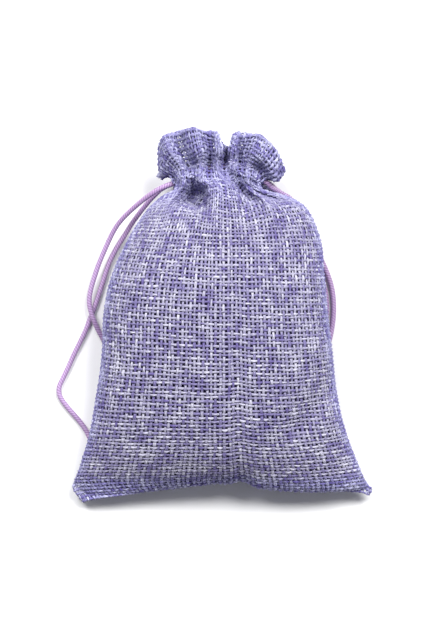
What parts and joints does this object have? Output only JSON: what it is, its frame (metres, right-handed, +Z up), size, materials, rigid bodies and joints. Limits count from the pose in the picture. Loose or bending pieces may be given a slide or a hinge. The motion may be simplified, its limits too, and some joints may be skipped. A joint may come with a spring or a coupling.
{
  "type": "lavender sachet",
  "caption": "Drawstring pouch of coarse lilac linen weave, filled with dried lavender and drawn shut by two thin cords that run through a stitched casing.",
  "frame": {"origin": "on the table under the middle of the pouch, cords left out", "axes": "+Z up from the table, +Y towards the mouth, +X to the right as seen from above"},
  "size_m": [0.1052, 0.1245, 0.0377],
  "materials": {
    "cloth": "coarse open plain weave of mottled lilac yarn",
    "buds": "loose dried lavender buds",
    "cord": "smooth satin cord",
    "thread": "sewing thread"
  },
  "bodies": {
    "pouch": {"front_panel": "cloth", "back_panel": "cloth", "lavender_fill": "buds", "left_seam": "thread", "right_seam": "thread", "bottom_seam": "thread", "front_stitch_low": "thread", "front_stitch_high": "thread", "back_stitch_low": "thread", "back_stitch_high": "thread", "left_neck_loop": "cord", "right_neck_loop": "cord"},
    "left_tail": {"left_strand_front": "cord", "left_strand_back": "cord", "left_knot": "cord"},
    "right_tail": {"right_strand_front": "cord", "right_strand_back": "cord", "right_knot": "cord"}
  },
  "joints": [
    {"name": "left_cord_pull", "type": "slide", "parent": "pouch", "child": "left_tail", "axis": [-0.9508, -0.3099, 0], "range_m": [0, 0.008]},
    {"name": "right_cord_pull", "type": "slide", "parent": "pouch", "child": "right_tail", "axis": [0.9508, -0.3099, 0], "range_m": [0, 0.008]}
  ]
}
